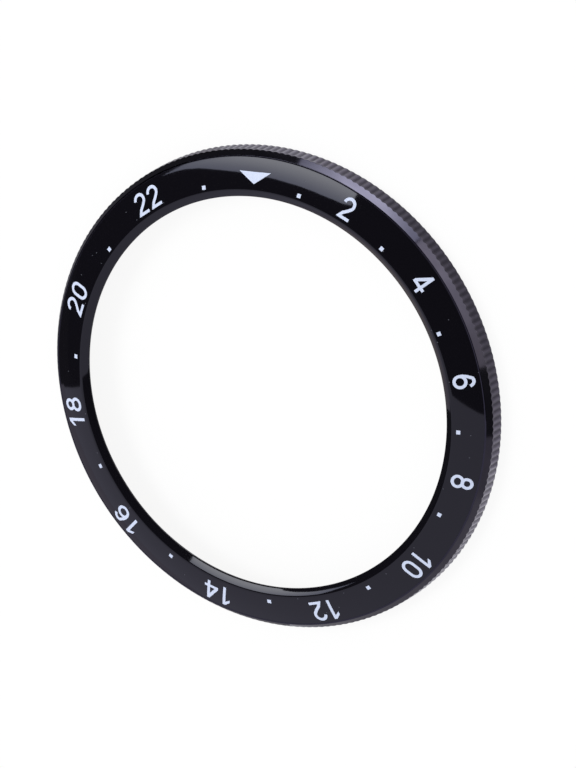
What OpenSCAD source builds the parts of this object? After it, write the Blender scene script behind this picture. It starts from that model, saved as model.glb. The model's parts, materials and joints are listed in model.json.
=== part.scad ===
// Bezel cover for a 46 mm smartwatch: a coin-edged carrier ring with a domed 24-hour insert.
// It slips over the watch's own rotating bezel and is held there by a ring of double-sided tape.
// Origin: middle of the flat back rim. +Z points out of the watch face, towards the wearer.
// The 24-hour triangle of the insert lies on +Y, and the hours run clockwise seen from +Z.

/* [Coin edge] */
// Diameter over the crests of the ribs
outside_d = 46; // [45:0.1:48]
// Number of ribs round the grip edge
rib_count = 216; // [180:12:240]
// Depth of the grooves between the ribs
rib_depth = 0.13; // [0.08:0.01:0.2]
// Shape of a rib: 1 is a plain wave, less gives fuller crests
rib_fullness = 0.7; // [0.5:0.05:1]
// Height of the ribbed band
edge_h = 1.62; // [1.5:0.02:2]
// Bevel round the foot of the ribs, at the back rim
foot_bevel = 0.12; // [0.05:0.01:0.2]

/* [Polished chamfer] */
// Width of the chamfer, seen from above
chamfer_w = 0.45; // [0.35:0.01:0.6]
// Height of the chamfer
chamfer_h = 0.67; // [0.55:0.01:0.8]
// Narrow flat land between the chamfer and the insert
land_w = 0.08; // [0.04:0.01:0.15]

/* [Skirt] */
// Wall of the skirt, from its bore to the crests of the ribs
skirt_wall = 0.9; // [0.8:0.02:1.1]
// Lead-in bevel at the mouth of the bore
lead_in = 0.15; // [0.05:0.01:0.25]
// Depth of the machined relief in the corner under the flange
relief_depth = 0.3; // [0.25:0.01:0.36]

/* [Flange] */
// How far the bore of the flange lies back from the opening of the insert
flange_setback = 0.92; // [0.8:0.02:1.2]
// Thickness of the flange under the outer edge of the insert
flange_t = 0.29; // [0.25:0.01:0.35]

/* [Insert] */
// Width of the insert, from the opening round the watch's display to the seam
insert_w = 3.6; // [3.4:0.05:3.9]
// Thickness of the insert's edge at the opening
opening_edge_t = 0.15; // [0.1:0.01:0.18]
// Width of the bevel round the opening
inner_bevel_w = 0.74; // [0.6:0.02:0.8]
// Height of the bevel round the opening
inner_bevel_h = 0.37; // [0.3:0.01:0.45]
// Fall of the domed face from its crest to the seam
face_fall = 1.06; // [0.95:0.01:1.15]
// Radius of the dome across the face
dome_r = 20; // [12:1:60]
// Thickness of the insert at the seam
insert_t = 0.4; // [0.35:0.01:0.45]
// Running gap of the seam between the insert and the carrier
seam_gap = 0.05; // [0.03:0.01:0.08]

/* [Bonding] */
// Thickness of the adhesive film under the insert
film_t = 0.1; // [0.05:0.01:0.12]
// Distance that the film keeps from both edges of its seat
film_inset = 0.2; // [0.15:0.05:0.3]
// Thickness of the mounting tape
tape_t = 0.3; // [0.2:0.01:0.35]
// Distance from the bore of the flange to the mounting tape
tape_inset = 0.35; // [0.3:0.05:0.6]
// Gap between the mounting tape and the bore of the skirt
tape_gap = 0.3; // [0.2:0.05:0.6]
// Thickness of the release liner
liner_t = 0.1; // [0.05:0.01:0.12]
// How far the liner stands past the tape on both sides
liner_lip = 0.05; // [0:0.01:0.1]

/* [Hidden] */
$fn = 180;
spare = 1;
rib_steps = 6;

crest_r = outside_d / 2;
root_r = crest_r - rib_depth;
skirt_r = crest_r - skirt_wall;
relief_r = skirt_r + relief_depth;
chamfer_top_r = crest_r - chamfer_w;
rim_z = edge_h + chamfer_h;
crest_z = rim_z + face_fall;

seat_wall_r = chamfer_top_r - land_w;
insert_r = seat_wall_r - seam_gap;
opening_r = insert_r - insert_w;
face_in_r = opening_r + inner_bevel_w;
lip_z = crest_z - inner_bevel_h;
lip_back_z = lip_z - opening_edge_t;

// The insert's back, the film and the seat are cones parallel to the chord of the domed face
fall_rate = face_fall / (insert_r - face_in_r);
function cone_z(r, drop) = rim_z - insert_t - drop + (insert_r - r) * fall_rate;
lip_flat_r = insert_r - (lip_back_z - cone_z(insert_r, 0)) / fall_rate;

flange_bore_r = opening_r + flange_setback;
flange_z = cone_z(insert_r, film_t) - flange_t;
film_in_r = flange_bore_r + film_inset;
film_out_r = insert_r - film_inset;
tape_in_r = flange_bore_r + tape_inset;
tape_out_r = skirt_r - tape_gap;
tape_z = flange_z - tape_t;
liner_z = tape_z - liner_t;

// Stock outside the crests, which knurling takes away
stock = 0.3;
blank_r = crest_r + stock;

// Centre of the dome's arc, which passes through the crest of the face and the seam
chord_w = insert_r - face_in_r;
chord = norm([chord_w, face_fall]);
dome_back = sqrt(dome_r * dome_r - chord * chord / 4);
dome_cr = (face_in_r + insert_r) / 2 - dome_back * face_fall / chord;
dome_cz = (crest_z + rim_z) / 2 - dome_back * chord_w / chord;

// One point of the coin edge: the wave rises from a groove, over a crest and back again
function rib_lift(step) = pow((1 - cos(360 * step / rib_steps)) / 2, rib_fullness);
function rib_point(step) =
    let (angle = 360 * step / (rib_steps * rib_count), r = root_r + rib_depth * rib_lift(step))
    [r * cos(angle), r * sin(angle)];

// Flat washer between two radii, from height z upwards
module washer(in_r, out_r, z, t) {
    translate([0, 0, z])
        difference() {
            cylinder(r = out_r, h = t);
            translate([0, 0, -spare])
                cylinder(r = in_r, h = t + 2 * spare);
        }
}

// Blank of the carrier before its edge is knurled: skirt, chamfer, seat and flange in one section
module carrier_blank() {
    rotate_extrude()
        polygon([
            [crest_r - foot_bevel, 0],
            [blank_r, foot_bevel + stock],
            [blank_r, edge_h - stock * chamfer_h / chamfer_w],
            [chamfer_top_r, rim_z],
            [seat_wall_r, rim_z],
            [seat_wall_r, cone_z(seat_wall_r, film_t)],
            [flange_bore_r, cone_z(flange_bore_r, film_t)],
            [flange_bore_r, flange_z],
            [relief_r, flange_z],
            [relief_r, liner_z],
            [skirt_r, liner_z],
            [skirt_r, lead_in],
            [skirt_r + lead_in, 0]
        ]);
}

// Carrier ring: the straight ribs run out into the chamfer and scallop its lower edge
module carrier_ring() {
    color("dimgray")
        intersection() {
            carrier_blank();
            translate([0, 0, -spare])
                linear_extrude(height = rim_z + 2 * spare)
                    polygon([for (step = [0 : rib_steps * rib_count - 1]) rib_point(step)]);
        }
}

// Scale insert: a domed face, a bevel round the opening and a back that follows the seat
module scale_insert() {
    color([0.06, 0.06, 0.08])
        rotate_extrude()
            intersection() {
                polygon([
                    [opening_r, lip_back_z],
                    [lip_flat_r, lip_back_z],
                    [insert_r, rim_z - insert_t],
                    [insert_r, crest_z + spare],
                    [face_in_r, crest_z + spare],
                    [face_in_r, crest_z],
                    [opening_r, lip_z]
                ]);
                translate([dome_cr, dome_cz])
                    circle(r = dome_r);
            }
}

// Adhesive film between the insert and its seat
module insert_bond_film() {
    color("gainsboro")
        rotate_extrude()
            polygon([
                [film_in_r, cone_z(film_in_r, film_t)],
                [film_out_r, cone_z(film_out_r, film_t)],
                [film_out_r, cone_z(film_out_r, 0)],
                [film_in_r, cone_z(film_in_r, 0)]
            ]);
}

// Double-sided foam tape under the flange
module mounting_tape() {
    color("darkslategray")
        washer(tape_in_r, tape_out_r, tape_z, tape_t);
}

// Paper liner that covers the tape until the cover is fitted
module release_liner() {
    color("wheat")
        washer(tape_in_r - liner_lip, tape_out_r + liner_lip, liner_z, liner_t);
}

carrier_ring();
scale_insert();
insert_bond_film();
mounting_tape();
release_liner();
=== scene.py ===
import json
import math

import bmesh
import bpy
from mathutils import Matrix, Quaternion, Vector
from mathutils.geometry import delaunay_2d_cdt


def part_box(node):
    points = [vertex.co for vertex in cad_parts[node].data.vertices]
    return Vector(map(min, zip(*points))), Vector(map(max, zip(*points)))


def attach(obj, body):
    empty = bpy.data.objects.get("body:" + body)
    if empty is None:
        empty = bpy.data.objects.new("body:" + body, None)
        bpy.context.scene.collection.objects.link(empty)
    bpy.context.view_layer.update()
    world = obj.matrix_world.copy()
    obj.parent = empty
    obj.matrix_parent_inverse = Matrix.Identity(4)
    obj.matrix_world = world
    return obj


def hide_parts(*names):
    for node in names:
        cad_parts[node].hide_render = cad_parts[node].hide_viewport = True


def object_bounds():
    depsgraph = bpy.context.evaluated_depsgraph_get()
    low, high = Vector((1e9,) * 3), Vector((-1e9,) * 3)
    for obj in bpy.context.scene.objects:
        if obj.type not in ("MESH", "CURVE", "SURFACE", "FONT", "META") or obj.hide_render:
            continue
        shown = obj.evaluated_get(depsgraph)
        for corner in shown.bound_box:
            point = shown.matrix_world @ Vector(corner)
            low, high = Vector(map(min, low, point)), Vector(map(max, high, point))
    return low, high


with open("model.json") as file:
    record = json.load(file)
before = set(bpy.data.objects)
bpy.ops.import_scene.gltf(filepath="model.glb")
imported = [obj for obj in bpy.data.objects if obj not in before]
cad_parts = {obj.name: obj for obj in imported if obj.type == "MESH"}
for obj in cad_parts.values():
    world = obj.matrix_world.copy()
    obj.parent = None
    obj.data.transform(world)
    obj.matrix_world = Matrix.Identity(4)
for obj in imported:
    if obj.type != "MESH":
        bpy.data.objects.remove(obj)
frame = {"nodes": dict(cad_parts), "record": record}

cad_low, cad_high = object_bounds()


# Carrier ring
# One turned ring of stainless steel: skirt, flange, seat and chamfer. Its edge is knurled with fine
# straight ribs, then all of it takes a dark gunmetal vapour-deposited coat and the chamfer is polished.
mm = 0.001
mounts = {mount["name"]: mount["dims"] for mount in frame["record"]["mounts"]}
crest_r = 23 * mm
skirt_r = mounts["skirt_bore"]["r_mm"] * mm
opening_r = mounts["display_opening"]["r_mm"] * mm
insert_r = 22.42 * mm
crest_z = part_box("scale_insert")[1].z
flange_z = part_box("mounting_tape")[1].z
liner_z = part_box("release_liner")[0].z

rib_count = 216
rib_depth = 0.1 * mm
rib_fullness = 0.7
rib_columns = 8
ring_sectors = 54
foot_bevel = 0.12 * mm
least_foot = 0.02 * mm
chamfer_w = 0.45 * mm
chamfer_h = 0.67 * mm
edge_z = 1.62 * mm
rim_z = edge_z + chamfer_h
root_r = crest_r - rib_depth
chamfer_top_r = crest_r - chamfer_w
# The ribs grow shallower from this height up, to this share of their depth where they meet the chamfer
runout_z = 1.25 * mm
runout = 0.55

land_w = 0.123 * mm
seat_wall_r = chamfer_top_r - land_w
insert_t = 0.4 * mm
film_t = 0.1 * mm
inner_bevel_w = 0.74 * mm
seat_rise = (crest_z - rim_z) / (insert_r - opening_r - inner_bevel_w)
flange_setback = 0.92 * mm
flange_bore_r = opening_r + flange_setback
relief_depth = 0.3 * mm
relief_r = skirt_r + relief_depth
lead_in = 0.15 * mm
chamfer_break = 0.025 * mm
land_break = 0.045 * mm
seat_fillet = 0.05 * mm
bore_break = 0.02 * mm
corner_steps = 3
# Sides of the section longer than this get a point near each end, which keeps them flat
least_flat = 0.08 * mm
flat_margin = 0.02 * mm
hair = 0.01 * mm
weld = 0.002 * mm


def cone_z(r, drop):
    """Height of the seat's cone at radius r, measured down from the back of the insert."""
    return rim_z - insert_t - drop + (insert_r - r) * seat_rise


def section(points):
    """The outline of a turned ring, from points of radius and height. A third value rounds the corner."""
    bm = bmesh.new()
    corners = [bm.verts.new((r, 0, z)) for r, z, *_ in points]
    bm.faces.new(corners)
    for corner, (_, _, *size) in zip(corners, points):
        if size:
            bmesh.ops.bevel(bm, geom=[corner], offset=size[0], offset_type="OFFSET", segments=corner_steps,
                            profile=0.5, affect="VERTICES", material=-1)
    bmesh.ops.delete(bm, geom=bm.faces[:], context="FACES_ONLY")
    return bm


def hold_flats(bm, least):
    """Adds a point near both ends of each side longer than least, so that it mirrors as a flat."""
    for edge in [e for e in bm.edges if e.calc_length() > least]:
        start, end = edge.verts
        bmesh.utils.edge_split(edge, start, flat_margin / edge.calc_length())
        bmesh.utils.edge_split(edge, end, flat_margin / edge.calc_length())


def turned(bm, sectors, steps):
    """Spins the section through one sector, then repeats the sector until the ring is closed."""
    part = math.tau / sectors
    bmesh.ops.spin(bm, geom=bm.verts[:] + bm.edges[:], cent=(0, 0, 0), axis=(0, 0, 1), dvec=(0, 0, 0),
                   angle=part, steps=steps)
    bmesh.ops.spin(bm, geom=bm.verts[:] + bm.edges[:] + bm.faces[:], cent=(0, 0, 0), axis=(0, 0, 1),
                   dvec=(0, 0, 0), angle=math.tau - part, steps=sectors - 1, use_duplicate=True)
    bmesh.ops.remove_doubles(bm, verts=bm.verts[:], dist=weld)
    bmesh.ops.recalc_face_normals(bm, faces=bm.faces[:])


def finished(bm, name, materials, sharp):
    """Puts a mesh into the scene as a piece that rides on the ring. Edges past sharp degrees stay hard."""
    mesh = bpy.data.meshes.new(name)
    bm.to_mesh(mesh)
    bm.free()
    for material in materials:
        mesh.materials.append(material)
    mesh.shade_smooth()
    mesh.set_sharp_from_angle(angle=math.radians(sharp))
    piece = bpy.data.objects.new(name, mesh)
    bpy.context.scene.collection.objects.link(piece)
    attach(piece, "root")
    return piece


def colour(code):
    """Linear colour from an sRGB hex code."""
    parts = [int(code[i:i + 2], 16) / 255 for i in (1, 3, 5)]
    return (*[p / 12.92 if p <= 0.04045 else ((p + 0.055) / 1.055) ** 2.4 for p in parts], 1)


def feed(tree, node, inputs):
    """Sets a node's inputs, by name or number, to values or links. A node given there is its first output."""
    for key, value in dict(inputs).items():
        if isinstance(value, bpy.types.Node):
            value = value.outputs[0]
        if isinstance(value, bpy.types.NodeSocket):
            tree.links.new(value, node.inputs[key])
        else:
            node.inputs[key].default_value = value
    return node


def add(tree, kind, inputs=(), stops=(), **settings):
    """Adds one node with its settings and inputs. stops are the places and hex codes of a colour ramp."""
    node = tree.nodes.new("ShaderNode" + kind)
    for key, value in settings.items():
        setattr(node, key, value)
    for index, (place, code) in enumerate(stops):
        stop = node.color_ramp.elements[index] if index < 2 else node.color_ramp.elements.new(place)
        stop.position, stop.color = place, colour(code)
    return feed(tree, node, inputs)


def finish(name, inputs):
    """A new material for one finish, with its node tree and its principled shader."""
    made = bpy.data.materials.new(name)
    made.use_nodes = True
    tree = made.node_tree
    return made, tree, feed(tree, tree.nodes["Principled BSDF"], inputs)


def on_ring(tree, along=1, outward=1, up=1):
    """A place on the ring, counted in marks of this many mm: round it at its crests, out and up."""
    place = add(tree, "VectorMath", {0: add(tree, "TexCoord").outputs["Object"], "Scale": 1 / mm},
                operation="SCALE")
    split = add(tree, "SeparateXYZ", {0: place}).outputs
    turn = add(tree, "Math", {0: split["Y"], 1: split["X"]}, operation="ARCTAN2")
    arc = add(tree, "Math", {0: turn, 1: crest_r / mm}, operation="MULTIPLY")
    level = add(tree, "CombineXYZ", {"X": split["X"], "Y": split["Y"]})
    radius = add(tree, "VectorMath", {0: level}, operation="LENGTH").outputs["Value"]
    place = add(tree, "CombineXYZ", {"X": arc, "Y": radius, "Z": split["Z"]})
    return add(tree, "VectorMath", {0: place, 1: (along, outward, up)}, operation="DIVIDE")


# The knurled edge is a cut, coated surface. The eye gets soft grey ribs with fine lines up them. The coat
# is painted lighter at the crests, where it is rubbed a little, and darker in the grooves, as painted shade.
# The tool's lines are really about 0.01 mm apart, which is too fine to show, so they are drawn 0.04 mm apart.
ribs_metal, tree, shader = finish("gunmetal_ribs", {"Metallic": 1.0})
lines = add(tree, "TexNoise", {"Vector": on_ring(tree, 0.04, 0.04, 0.7), "Scale": 1.0, "Detail": 3.0,
                               "Roughness": 0.6})
blotch = add(tree, "TexNoise", {"Vector": on_ring(tree, 1.1, 1.1, 1.1), "Scale": 1.0, "Detail": 4.0,
                                "Roughness": 0.6})
radius = add(tree, "SeparateXYZ", {0: on_ring(tree)}).outputs["Y"]
# The colour runs from dark in the grooves to light on the crests: painted shade in the grooves, and wear on
# the crests.
crest = add(tree, "MapRange", {"Value": radius, "From Min": root_r / mm, "From Max": crest_r / mm})
patchy = add(tree, "Math", {0: blotch, 1: 0.8, 2: 0.55}, operation="MULTIPLY_ADD")
wear_and_groove_shade = add(tree, "Math", {0: crest, 1: patchy}, operation="MULTIPLY")
coat_and_groove_shade = [(0.1, "#535059"), (0.55, "#5c5962"), (1.0, "#78747f")]
feed(tree, shader, {
    "Base Color": add(tree, "ValToRGB", {"Fac": wear_and_groove_shade}, coat_and_groove_shade),
    "Roughness": add(tree, "MapRange", {"Value": lines, "To Min": 0.25, "To Max": 0.38}),
    "Normal": add(tree, "Bump", {"Height": lines, "Strength": 0.35, "Distance": 0.006 * mm}),
})

# The chamfer and the land are polished under the same coat, so they mirror the room, but darkly, with a
# faint haze along the ring. The wheel's lines are drawn 0.025 mm apart, a few times their real spacing.
polished_metal, tree, shader = finish("gunmetal_polished", {"Metallic": 1.0,
                                                            "Specular Tint": (0.8, 0.8, 0.82, 1)})
wheel = add(tree, "TexNoise", {"Vector": on_ring(tree, 2.9, 0.025, 0.025), "Scale": 1.0, "Detail": 2.0,
                               "Roughness": 0.5})
smear = add(tree, "TexNoise", {"Vector": on_ring(tree, 2.5, 1.25, 1.25), "Scale": 1.0, "Detail": 3.0})
feed(tree, shader, {
    "Base Color": add(tree, "ValToRGB", {"Fac": smear}, [(0.3, "#3e3c44"), (0.7, "#45434b")]),
    "Roughness": add(tree, "MapRange", {"Value": wheel, "To Min": 0.05, "To Max": 0.11}),
    "Normal": add(tree, "Bump", {"Height": wheel, "Strength": 0.2, "Distance": 0.002 * mm}),
})

# The bore side, the seat and the back rim were turned and only coated: a duller grey with the rings that
# the lathe's tool left, at its feed of 0.055 mm a turn.
turned_metal, tree, shader = finish("gunmetal_turned", {"Metallic": 1.0})
marks = add(tree, "TexNoise", {"Vector": on_ring(tree, 20, 0.055, 0.055), "Scale": 1.0, "Detail": 3.0,
                               "Roughness": 0.6})
feed(tree, shader, {
    "Base Color": add(tree, "ValToRGB", {"Fac": marks}, [(0.25, "#5a565a"), (0.75, "#77727a")]),
    "Roughness": add(tree, "MapRange", {"Value": marks, "To Min": 0.28, "To Max": 0.48}),
    "Normal": add(tree, "Bump", {"Height": marks, "Strength": 0.4, "Distance": 0.006 * mm}),
})

# The section runs from the back rim up the edge and over the chamfer, in along the seat, back out under
# the flange and down the bore.
ring = section([
    (crest_r - foot_bevel, 0), (crest_r, foot_bevel), (crest_r, runout_z), (crest_r, edge_z, chamfer_break),
    (chamfer_top_r, rim_z, land_break), (seat_wall_r, rim_z),
    (seat_wall_r, cone_z(seat_wall_r, film_t), seat_fillet),
    (flange_bore_r, cone_z(flange_bore_r, film_t), bore_break), (flange_bore_r, flange_z),
    (relief_r, flange_z), (relief_r, liner_z), (skirt_r, liner_z, bore_break), (skirt_r, lead_in),
    (skirt_r + lead_in, 0),
])
hold_flats(ring, least_flat)
turned(ring, ring_sectors, rib_count // ring_sectors * rib_columns)

# The ribs are cut by moving the turned points inwards, deepest midway between two crests. The chamfer
# starts higher over a groove than over a crest, and the bevel at the foot is smaller there.
rim_corner_r = crest_r - foot_bevel
chamfer_foot_z = edge_z + 0.8 * chamfer_break
for vert in ring.verts:
    r, z = math.hypot(vert.co.x, vert.co.y), vert.co.z
    turn = math.atan2(vert.co.y, vert.co.x)
    dip = rib_depth * (1 - ((1 - math.cos(turn * rib_count)) / 2) ** rib_fullness)
    share = (crest_r - dip * runout - chamfer_top_r) / chamfer_w
    top = rim_z - chamfer_h * share
    foot = max(least_foot, foot_bevel - dip)
    if r > chamfer_top_r and z > chamfer_foot_z:
        r, z = chamfer_top_r + (r - chamfer_top_r) * share, rim_z - (rim_z - z) * share
    elif r > chamfer_top_r and z > foot_bevel:
        r -= dip * (1 - (1 - runout) * max(0, z - runout_z) / (edge_z - runout_z))
        z = foot + (z - foot_bevel) * (top - foot) / (edge_z - foot_bevel)
    elif r > rim_corner_r - hair:
        share = z / foot_bevel
        rim_r = min(rim_corner_r, crest_r - dip - least_foot)
        r, z = rim_r * (1 - share) + (crest_r - dip) * share, foot * share
    vert.co = (r * math.cos(turn), r * math.sin(turn), z)

# Faces of the edge that look up less than this belong to the ribs
rib_tilt = 0.3
for face in ring.faces:
    middle = face.calc_center_median()
    r = math.hypot(middle.x, middle.y)
    if r > crest_r - 2 * rib_depth and face.normal.z < rib_tilt:
        face.material_index = 0
    elif r > seat_wall_r - hair and middle.z > runout_z:
        face.material_index = 1
    else:
        face.material_index = 2
carrier = finished(ring, "carrier_ring_turned", [ribs_metal, polished_metal, turned_metal], sharp=25)
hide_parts("carrier_ring")


# Scale insert
# A thin pressed ring with a domed face and a bevel round the opening. It is sprayed with black enamel,
# which is baked and polished to a deep gloss, and is bonded into the seat of the carrier.
inner_bevel_h = 0.37 * mm
opening_edge_t = 0.15 * mm
dome_r = 20 * mm
bevel_crown = 0.009 * mm
brow_round = 0.16 * mm
lip_round = 0.04 * mm
lip_back_round = 0.03 * mm
bevel_steps = 6
dome_steps = 12
insert_sectors = 36
sector_steps = 20
least_insert_flat = 0.3 * mm
face_in_r = opening_r + inner_bevel_w
lip = Vector((opening_r, crest_z - inner_bevel_h))
brow = Vector((face_in_r, crest_z))
seam = Vector((insert_r, rim_z))
lip_back_z = lip.y - opening_edge_t
lip_flat_r = insert_r - (lip_back_z - cone_z(insert_r, 0)) / seat_rise
chord = seam - brow
dome_middle = (brow + seam) / 2
dome_middle -= chord.orthogonal().normalized() * math.sqrt(dome_r ** 2 - chord.length_squared / 4)


def face_z(r):
    """Height of the domed face at radius r."""
    return dome_middle.y + math.sqrt(dome_r ** 2 - (r - dome_middle.x) ** 2)


# Baked enamel gives the eye a black mirror, slightly rippled by the spray over a few mm, with a speck of
# dust under the gloss here and there. The specks are 0.1 mm across, the smallest that shows. Their radius
# is a share of the pattern's cells, and only a cell whose random value passes the limit holds one.
dust_cell = 1.43
dust_r = 0.035
dust_limit = 0.7
enamel, tree, shader = finish("gloss_black_enamel", {"IOR": 1.47})
swell = add(tree, "TexNoise", {"Vector": on_ring(tree, 4, 1.7, 1.7), "Scale": 1.0, "Detail": 2.0,
                               "Roughness": 0.4})
dust = add(tree, "TexVoronoi", {"Vector": on_ring(tree, dust_cell, dust_cell, dust_cell), "Scale": 1.0},
           voronoi_dimensions="2D").outputs
near = add(tree, "Math", {0: dust["Distance"], 1: dust_r}, operation="LESS_THAN")
chosen = add(tree, "Math", {0: dust["Color"], 1: dust_limit}, operation="GREATER_THAN")
speck = add(tree, "Math", {0: near, 1: chosen}, operation="MULTIPLY")
feed(tree, shader, {
    "Base Color": add(tree, "ValToRGB", {"Fac": speck}, [(0.0, "#0e0d12"), (1.0, "#4c4e58")]),
    "Roughness": add(tree, "MapRange", {"Value": speck, "To Min": 0.04, "To Max": 0.5}),
    "Normal": add(tree, "Bump", {"Height": swell, "Strength": 0.25, "Distance": 0.01 * mm}),
})

# The section runs from the lip's back out to the seam, then in over the dome and down the bevel. The
# bevel is crowned a little, so that it mirrors the room as a soft gradient.
outline = [(opening_r, lip_back_z, lip_back_round), (lip_flat_r, lip_back_z), (insert_r, rim_z - insert_t)]
for step in range(dome_steps):
    r = insert_r + (face_in_r - insert_r) * step / dome_steps
    outline.append((r, face_z(r)))
outline.append((*brow, brow_round))
bulge = (brow - lip).orthogonal().normalized() * bevel_crown
for step in range(1, bevel_steps):
    share = step / bevel_steps
    outline.append(brow.lerp(lip, share) + bulge * 4 * share * (1 - share))
outline.append((*lip, lip_round))
insert = section(outline)
hold_flats(insert, least_insert_flat)
turned(insert, insert_sectors, sector_steps)
enamelled = finished(insert, "scale_insert_enamelled", [enamel], sharp=50)
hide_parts("scale_insert")


# Printed scale
# The triangle, the even numerals and the dots at the odd hours are pad-printed on the enamel in one
# pass of pale blue-white ink, about two hundredths of a millimetre thick. The print lies a little off
# the ring's centre, and its hours aren't all of one width. It is drawn flat in mm, then laid on the dome.
ink_t = 0.018 * mm
ink_root = 0.002 * mm
facet = 0.3
facets_side = 1.6
facets_low, facets_high = 19.5, 23
arc_step = 9
sharpest_mitre = 0.5
same_point = 1e-5
same_plane = 1e-6
stroke = 0.295
box_h = 2.13
# The digits are printed at these shares of the width and height that they are drawn in
numeral_scale = (0.97, 0.96)
numeral_r = 21.03
triangle_w = 3.3
dot_w = 0.38
triangle_low, triangle_high = 20.25, 21.32
dot_low, dot_high = 19.95, 20.31
off_centre = Vector((0.02, -0.13, 0)) * mm
# Degrees from each hour to the next, clockwise from 24
hour_widths = [13.52] * 8 + [11.0, 16.5] + [15.7] * 4 + [15.3] * 6 + [18.15] * 3 + [15.3]

# Matt ink scatters evenly and hides the enamel's gloss. Its grain, really a few thousandths of a
# millimetre, is drawn at 0.11 mm, so that it shows as a faint mottle.
ink, tree, shader = finish("pale_blue_white_ink", {})
speckle = add(tree, "TexNoise", {"Vector": on_ring(tree, 0.11, 0.11, 0.11), "Scale": 1.0, "Detail": 3.0,
                                 "Roughness": 0.6})
feed(tree, shader, {
    "Base Color": add(tree, "ValToRGB", {"Fac": speckle}, [(0.3, "#c3cee8"), (0.7, "#d3dcf2")]),
    "Roughness": add(tree, "MapRange", {"Value": speckle, "To Min": 0.34, "To Max": 0.55}),
    "Normal": add(tree, "Bump", {"Height": speckle, "Strength": 0.3, "Distance": 0.004 * mm}),
})


def bow(x, y, rx, ry, start, end):
    """Points on an oval arc, from start to end in degrees, anticlockwise if end is the larger."""
    count = max(2, round(abs(end - start) / arc_step))
    places = [math.radians(start + (end - start) * i / count) for i in range(count + 1)]
    return [(x + rx * math.cos(place), y + ry * math.sin(place)) for place in places]


def pen(path):
    """The outline of a pen stroke along an open path, with mitred bends and square ends."""
    sides = ([], [])
    for i, here in enumerate(path):
        before, after = Vector(path[max(i - 1, 0)]), Vector(path[min(i + 1, len(path) - 1)])
        here = Vector(here)
        ahead = (after - here).normalized() if i < len(path) - 1 else (here - before).normalized()
        behind = (here - before).normalized() if i else ahead
        along = (ahead + behind).normalized()
        reach = Vector((-along.y, along.x)) * stroke / 2 / max(sharpest_mitre, along.dot(ahead))
        sides[0].append(here + reach)
        sides[1].append(here - reach)
    return sides[0] + sides[1][::-1]


# Each digit has its width and its outlines, which are drawn in a box from its lower left corner.
digits = {
    "0": (1.36, [pen(bow(0.68, 1.38, 0.52, 0.59, 0, 180) + bow(0.68, 0.75, 0.52, 0.59, 180, 270)),
                 pen(bow(0.68, 0.75, 0.52, 0.59, 260, 360) + bow(0.68, 1.38, 0.52, 0.59, 0, 10))]),
    "1": (0.80, [pen([(0.64, 0), (0.64, box_h)]),
                 [(0.60, box_h), (0.50, box_h), (0.02, 1.68), (0.02, 1.36), (0.50, 1.74), (0.60, 1.76)]]),
    "2": (1.42, [pen(bow(0.70, 1.45, 0.53, 0.52, 175, -28) + [(0.92, 0.92), (0.50, 0.55), (0.27, 0.16)]),
                 [(0.03, 0), (1.40, 0), (1.40, 0.28), (0.42, 0.28), (0.13, 0.22)]]),
    "4": (1.50, [pen([(1.03, 0), (1.03, box_h)]), [(0.0, 0.47), (1.48, 0.47), (1.48, 0.75), (0.0, 0.75)],
                 [(0.0, 0.47), (0.0, 0.76), (0.91, box_h), (1.15, box_h), (1.09, 1.82), (0.30, 0.66)]]),
    "6": (1.42, [pen(bow(0.72, 0.70, 0.54, 0.54, 90, 370)), pen(bow(0.72, 0.70, 0.54, 0.54, 0, 100)),
                 pen(bow(0.76, 1.32, 0.52, 0.65, 22, 120) + [(0.27, 1.40), (0.18, 1.06), (0.17, 0.72)])]),
    "8": (1.42, [pen(bow(0.71, 1.53, 0.45, 0.44, 80, 280)), pen(bow(0.71, 1.53, 0.45, 0.44, -90, 90)),
                 pen(bow(0.71, 0.64, 0.54, 0.48, 80, 280)), pen(bow(0.71, 0.64, 0.54, 0.48, -90, 90))]),
}
# Space between the two digits of a numeral
gaps = {"10": 0.61, "12": 0.56, "14": 0.56, "16": 0.62, "18": 0.64, "20": 0.29, "22": 0.27}


def flat_shape(outlines):
    """One flat mesh that covers all the outlines, without overlaps and with their counters left open."""
    points, loops = [], []
    for outline in outlines:
        corners = [Vector(p) for p in outline]
        if sum(a.cross(b) for a, b in zip(corners, corners[1:] + corners[:1])) < 0:
            corners.reverse()
        loops.append(list(range(len(points), len(points) + len(corners))))
        points += corners
    inside_only = 1
    verts, _, faces, _, _, sources = delaunay_2d_cdt(points, [], loops, inside_only, same_point)
    bm = bmesh.new()
    placed = [bm.verts.new((*v, 0)) for v in verts]
    for corners, source in zip(faces, sources):
        if source:
            bm.faces.new([placed[i] for i in corners])
    bmesh.ops.delete(bm, geom=[v for v in bm.verts if not v.link_faces], context="VERTS")
    return bm


def printed(name, outlines, hour):
    """Lays the outlines, drawn at the top of the scale, on the domed face at that hour as a layer of ink."""
    bm = flat_shape(outlines)
    sideways, outwards = Vector((1, 0, 0)), Vector((0, 1, 0))
    for normal, low, high in ((sideways, -facets_side, facets_side), (outwards, facets_low, facets_high)):
        for step in range(math.ceil((high - low) / facet)):
            bmesh.ops.bisect_plane(bm, geom=bm.verts[:] + bm.edges[:] + bm.faces[:], dist=same_plane,
                                   plane_co=normal * (low + step * facet), plane_no=normal)
    lifted = bmesh.ops.extrude_face_region(bm, geom=bm.faces[:])["geom"]
    raised = {v for v in lifted if isinstance(v, bmesh.types.BMVert)}
    clock = Matrix.Rotation(-math.radians(sum(hour_widths[:hour])), 3, "Z")
    for vert in bm.verts:
        place = clock @ vert.co * mm + off_centre
        place.z = face_z(place.xy.length) + (ink_t if vert in raised else -ink_root)
        vert.co = place
    bmesh.ops.recalc_face_normals(bm, faces=bm.faces[:])
    finished(bm, name, [ink], sharp=40)


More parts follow.
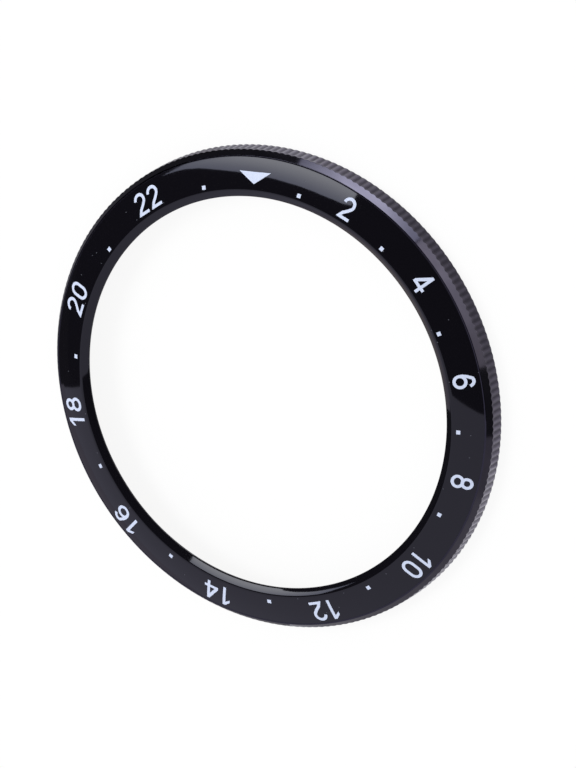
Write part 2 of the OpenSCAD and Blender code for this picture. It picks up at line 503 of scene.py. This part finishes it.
for hour in range(2, 24, 2):
    text = str(hour)
    gap = gaps.get(text, 0)
    left = -(sum(digits[digit][0] for digit in text) + gap * (len(text) - 1)) / 2
    shapes = []
    for digit in text:
        wide, outlines = digits[digit]
        shapes += [[((x + left) * numeral_scale[0], (y - box_h / 2) * numeral_scale[1] + numeral_r)
                    for x, y in outline] for outline in outlines]
        left += wide + gap
    printed("printed_numeral_" + text, shapes, hour)
printed("printed_triangle_24",
        [[(-triangle_w / 2, triangle_high), (0, triangle_low), (triangle_w / 2, triangle_high)]], 0)
for hour in range(1, 24, 2):
    printed("printed_dot_" + str(hour), [[(-dot_w / 2, dot_low), (dot_w / 2, dot_low), (dot_w / 2, dot_high),
                                          (-dot_w / 2, dot_high)]], hour)


# Bonding film
# A die-cut ring of clear acrylic transfer adhesive, between the back of the insert and its seat. Only
# its inner edge can be seen, from behind and through the opening: clear, with soft ripples 0.33 mm long.
film, tree, shader = finish("clear_adhesive_film", {"Base Color": colour("#e9e7de"), "Roughness": 0.25,
                                                    "Transmission Weight": 0.6, "IOR": 1.47})
ripple = add(tree, "TexNoise", {"Vector": on_ring(tree, 0.33, 0.33, 0.33), "Scale": 1.0, "Detail": 2.0})
feed(tree, shader, {"Normal": add(tree, "Bump", {"Height": ripple, "Strength": 0.3, "Distance": 0.01 * mm})})


# Mounting tape
# A die-cut ring of dark acrylic foam, tacky on both faces. It holds the cover on the watch's bezel. The
# cut edge is matt and shows the foam's closed cells, each about 0.07 mm across.
foam, tree, shader = finish("dark_acrylic_foam", {"Roughness": 0.75})
cells = add(tree, "TexVoronoi", {"Vector": on_ring(tree, 0.07, 0.07, 0.07), "Scale": 1.0})
feed(tree, shader, {
    "Base Color": add(tree, "ValToRGB", {"Fac": cells}, [(0.1, "#29292d"), (0.7, "#434348")]),
    "Normal": add(tree, "Bump", {"Height": cells, "Strength": 0.5, "Distance": 0.02 * mm}),
})


# Release liner
# A ring of tan glassine paper with a silicone coat, cut a little wider than the tape, so that a nail
# finds its edge when the liner is peeled off. It has a waxy sheen over fibres about 0.55 mm long, which
# cloud into patches of 4 mm.
fibre = 0.55 * mm
patch = 4 * mm
paper, tree, shader = finish("tan_glassine_liner", {"Roughness": 0.38})
place = add(tree, "TexCoord").outputs["Object"]
fibres = add(tree, "TexNoise", {"Vector": place, "Scale": 1 / fibre, "Detail": 4.0, "Roughness": 0.65,
                                "Distortion": 1.5})
cloud = add(tree, "TexNoise", {"Vector": place, "Scale": 1 / patch, "Detail": 3.0})
cloud = add(tree, "Math", {0: cloud, 1: 0.4}, operation="MULTIPLY")
pulp = add(tree, "Math", {0: fibres, 1: 0.6, 2: cloud}, operation="MULTIPLY_ADD")
feed(tree, shader, {
    "Base Color": add(tree, "ValToRGB", {"Fac": pulp}, [(0.3, "#cdb88c"), (0.7, "#e0cfa9")]),
    "Normal": add(tree, "Bump", {"Height": fibres, "Strength": 0.3, "Distance": 0.01 * mm}),
})

for node, layer_finish, slot_name in (("insert_bond_film", film, "clear_adhesive"),
                                      ("mounting_tape", foam, "foam_tape"),
                                      ("release_liner", paper, "liner_paper")):
    layer = frame["nodes"][node]
    layer.data.materials.clear()
    layer.data.materials.append(layer_finish)


# Camera
# A long lens far back, as in the photograph, which shows almost no perspective. The ring is turned in
# the picture, so the camera is rolled about its own axis.
# This points from the ring to the camera
back = Vector((0.47744, 0.29007, 0.82940)).normalized()
roll = -120.048
distance = 1.769
aim_z = 2.98 * mm
aim_right, aim_up = 1.941 * mm, 0.810 * mm
camera_turn = Quaternion(back, math.radians(roll)) @ back.to_track_quat("Z", "Y")
lens = bpy.data.cameras.new("camera")
lens.lens = 900
lens.sensor_width = 36
lens.clip_start, lens.clip_end = 0.05, 20
camera = bpy.data.objects.new("camera", lens)
camera.rotation_mode = "QUATERNION"
camera.rotation_quaternion = camera_turn
camera.location = Vector((0, 0, aim_z)) + camera_turn @ Vector((aim_right, aim_up, distance))
bpy.context.scene.collection.objects.link(camera)
bpy.context.scene.camera = camera
bpy.context.scene.view_settings.view_transform = "Standard"


# Studio
# A pale floor under the ring and white light from all round, with soft boxes and black and grey panels
# that are seen only in the glossy surfaces. Lengths here are in metres.
toward = Vector((back.x, back.y, 0)).normalized()
across = Vector((toward.y, -toward.x, 0))
far = 0.45
floor_side = 30
floor_z = cad_low.z - 0.02 * mm
sheet_z = cad_low.z - 0.01 * mm
sheet_steps = 12


def direction(v, w, z):
    """A place so far towards the camera (v), clockwise across from there (w) and up (z)."""
    return toward * v + across * w + Vector((0, 0, z))


def overhead(height, *places):
    """Corners on a level plane, each seen from the ring in the direction v / z, w / z."""
    return [direction(v, w, 1) * height for v, w in places]


def turned_to(angle, reach=far, rise=0):
    """A place at this turn clockwise from the camera, at a distance from the axis and a height."""
    return direction(math.cos(math.radians(angle)) * reach, math.sin(math.radians(angle)) * reach, rise)


def lying(start, end, near, reach):
    """Corners of a sheet on the floor between two turns clockwise from the camera and two radii."""
    steps = [start + (end - start) * step / sheet_steps for step in range(sheet_steps + 1)]
    return [turned_to(step, edge, sheet_z) for edge, side in ((near, steps), (reach, steps[::-1]))
            for step in side]


def upright(start, end, high, reach=far):
    """Corners of a panel on the floor between two turns clockwise from the camera, high degrees tall."""
    top = math.tan(math.radians(high)) * reach
    return [turned_to(start, reach), turned_to(end, reach), turned_to(end, reach, top),
            turned_to(start, reach, top)]


def shown(name, corners, paint):
    """Puts a flat panel with its paint into the scene."""
    bm = bmesh.new()
    bm.faces.new([bm.verts.new(corner) for corner in corners])
    mesh = bpy.data.meshes.new(name)
    bm.to_mesh(mesh)
    bm.free()
    mesh.materials.append(paint)
    panel = bpy.data.objects.new(name, mesh)
    bpy.context.scene.collection.objects.link(panel)
    return panel


def card(name, corners, bright, dim=None, fade=None):
    """A flat panel that shows only in reflections, given by its corners and its glow as a linear colour.
    With dim and fade, the glow falls to dim on the way from fade[0] to fade[1]."""
    paint = bpy.data.materials.new(name)
    paint.use_nodes = True
    tree = paint.node_tree
    tree.nodes.clear()
    glow = add(tree, "Emission", {"Color": (*bright, 1)})
    if fade:
        way = fade[1] - fade[0]
        along = add(tree, "VectorMath", {0: add(tree, "TexCoord").outputs["Object"], 1: fade[0]},
                    operation="SUBTRACT")
        share = add(tree, "VectorMath", {0: along, 1: way / way.length_squared}, operation="DOT_PRODUCT")
        share = add(tree, "MapRange", {"Value": share.outputs["Value"]}, interpolation_type="SMOOTHSTEP")
        mixed = add(tree, "Mix", {"Factor": share, "A": (*bright, 1), "B": (*dim, 1)}, data_type="RGBA")
        feed(tree, glow, {"Color": mixed.outputs["Result"]})
    add(tree, "OutputMaterial", {"Surface": glow})
    panel = shown(name, corners, paint)
    panel.visible_camera = panel.visible_diffuse = panel.visible_shadow = panel.visible_transmission = False


# The floor is matt and keeps the ring's shadow. To the camera it is nearly white, and glossy surfaces
# mirror it dimmer.
floor_paint = bpy.data.materials.new("white_floor")
floor_paint.use_nodes = True
tree = floor_paint.node_tree
tree.nodes.clear()
matt = add(tree, "BsdfDiffuse", {"Color": (0.95, 0.95, 0.95, 1)})
white = add(tree, "Emission", {"Color": (1, 1, 1, 1), "Strength": 1.0})
dusk = add(tree, "Emission", {"Color": (0.64, 0.62, 0.67, 1), "Strength": 1.0})
seen = add(tree, "LightPath").outputs
through = add(tree, "Math", {0: seen["Is Camera Ray"], 1: seen["Is Transmission Ray"]}, operation="MAXIMUM")
through = add(tree, "Math", {0: through, 1: 0.9}, operation="MULTIPLY")
mirrored = add(tree, "Math", {0: seen["Is Glossy Ray"], 1: 0.7}, operation="MULTIPLY")
both = add(tree, "MixShader", {0: through, 1: matt, 2: white})
both = add(tree, "MixShader", {0: mirrored, 1: both, 2: dusk})
add(tree, "OutputMaterial", {"Surface": both})
shown("floor", [(x * floor_side, y * floor_side, floor_z) for x, y in ((-1, -1), (1, -1), (1, 1), (-1, 1))],
      floor_paint)

# The surroundings light the ring evenly. They are white to the camera, and dim in glossy surfaces.
world = bpy.data.worlds.new("studio")
bpy.context.scene.world = world
world.use_nodes = True
tree = world.node_tree
tree.nodes.clear()
plain = add(tree, "Background", {"Color": (0.75, 0.75, 0.75, 1), "Strength": 1.0})
white = add(tree, "Background", {"Color": (1, 1, 1, 1), "Strength": 1.0})
dusk = add(tree, "Background", {"Color": (0.55, 0.54, 0.71, 1), "Strength": 1.0})
seen = add(tree, "LightPath").outputs
through = add(tree, "Math", {0: seen["Is Camera Ray"], 1: seen["Is Transmission Ray"]}, operation="MAXIMUM")
both = add(tree, "MixShader", {0: through, 1: plain, 2: white})
both = add(tree, "MixShader", {0: seen["Is Glossy Ray"], 1: both, 2: dusk})
add(tree, "OutputWorld", {"Surface": both})

# Overhead hangs a large black panel, which the upper half of the face mirrors, with a soft box in
# front of it that fades towards its near edge.
panel_z = 0.5
box_z = 0.48
card("black_panel_overhead", overhead(panel_z, (2.0, 2.46), (-0.295, -0.017), (-8.0, -1.75), (-8.0, -8.0),
                                      (2.0, -8.0)), (0.002, 0.002, 0.003))
box_shape = [(-0.88, -1.14), (-0.76, -1.085), (-0.67, -1.035), (-0.56, -0.95), (-0.385, -0.78),
             (-0.145, -0.565), (-0.02, -0.455), (0.04, -0.415), (0.08, -0.410), (0.165, -0.475),
             (0.26, -0.545), (0.22, -0.62), (0.12, -0.72), (0.0, -0.90), (-0.20, -1.05), (-0.26, -0.93),
             (-0.34, -0.95), (-0.53, -1.035), (-0.65, -1.09), (-0.81, -1.125)]
card("soft_box_overhead", overhead(box_z, *box_shape), (5.0, 5.1, 5.6), (2.0, 2.1, 2.8),
     overhead(box_z, (0.025, -0.735), (-0.165, -0.535)))

# Low panels stand round the ring. The polished chamfer mirrors those on the camera's side, and the bevel
# round the opening mirrors those at the back. The turns at which they start and end are counted clockwise
# from the camera. These and their height, as seen from the ring, are in degrees.
tall, dusk_tall, warm_tall = 17, 10, 11
box_start, box_middle, box_end = -71, -46, -20.5
grey_start, grey_end, black_end, dusk_end = -19.5, 31, 56, 112
back_start, back_end, side_end = -167, -110, -71.5
lavender = (6.4, 6.6, 7.2)
black = (0.1, 0.1, 0.11)
card("soft_box_lavender_left", upright(box_start, box_middle, tall), lavender, (2.3, 2.4, 2.7),
     (turned_to(box_middle), turned_to(box_start)))
card("soft_box_lavender_right", upright(box_middle, box_end, tall), lavender, (2.3, 2.4, 2.8),
     (turned_to(box_middle), turned_to(box_end)))
card("grey_panel_low", upright(grey_start, grey_end, tall), (2.3, 2.25, 2.4), (1.1, 1.05, 1.1),
     (turned_to(-10), turned_to(grey_end)))
card("black_panel_low", upright(grey_end, black_end, tall, reach=0.44), black)
card("dusk_panel_side", upright(black_end, dusk_end, dusk_tall), (0.53, 0.51, 0.56))
card("black_panel_side", upright(back_end, side_end, tall), black)
card("black_panel_back", upright(back_start, back_end, tall), (0.02, 0.02, 0.02))
warm_fade_z = 0.075
upwards = (Vector((0, 0, 0)), Vector((0, 0, warm_fade_z)))
for start, end, glow in ((148, 173, 1.05), (173, 181, 0.87), (181, 193, 0.72)):
    card("warm_panel_far_" + str(start), upright(start, end, warm_tall),
         (glow, 0.88 * glow, 0.89 * glow), (0.5, 0.46, 0.6), upwards)

# Sheets lie on the floor close round the ring. The coin edge mirrors them, and so does the chamfer where
# it turns away from the camera.
sheet_near = 0.02305
side_near = 0.0245
front_reach = 0.0252
front_end, bright_end, dark_end = 46, 124, 210
card("black_sheet_side", lying(-150, side_end, side_near, far), (0.3, 0.29, 0.32), (0.11, 0.11, 0.12),
     (turned_to(-125, 0.027), turned_to(-90, 0.03)))
card("dark_sheet_side", lying(dark_end, 256, sheet_near, side_near), (0.07, 0.07, 0.08))
card("dark_sheet_far", lying(bright_end, dark_end, sheet_near, 0.03), (0.35, 0.34, 0.37), (0.07, 0.07, 0.08),
     (turned_to(bright_end, 0.025), turned_to(152, 0.025)))
card("grey_sheet_front", lying(box_middle, front_end, sheet_near, front_reach), (0.3, 0.29, 0.33),
     (0.75, 0.73, 0.8), (turned_to(0, 0.0235), turned_to(0, 0.0163)))
card("bright_sheet_left", lying(side_end, box_middle, sheet_near, front_reach), (0.95, 0.95, 1.0))
card("bright_sheet_right", lying(front_end, bright_end, sheet_near, front_reach), (1.05, 1.05, 1.1))

# One round lamp above the ring adds to the light from all round and casts the soft shadow.
lamp = bpy.data.lights.new("key_light", "AREA")
lamp.shape = "DISK"
lamp.size = 0.5
lamp.energy = 4
key = bpy.data.objects.new("key_light", lamp)
key.location = direction(-0.24, -0.4, 0.8)
key.rotation_mode = "QUATERNION"
key.rotation_quaternion = key.location.to_track_quat("Z", "Y")
key.visible_camera = key.visible_glossy = False
bpy.context.scene.collection.objects.link(key)
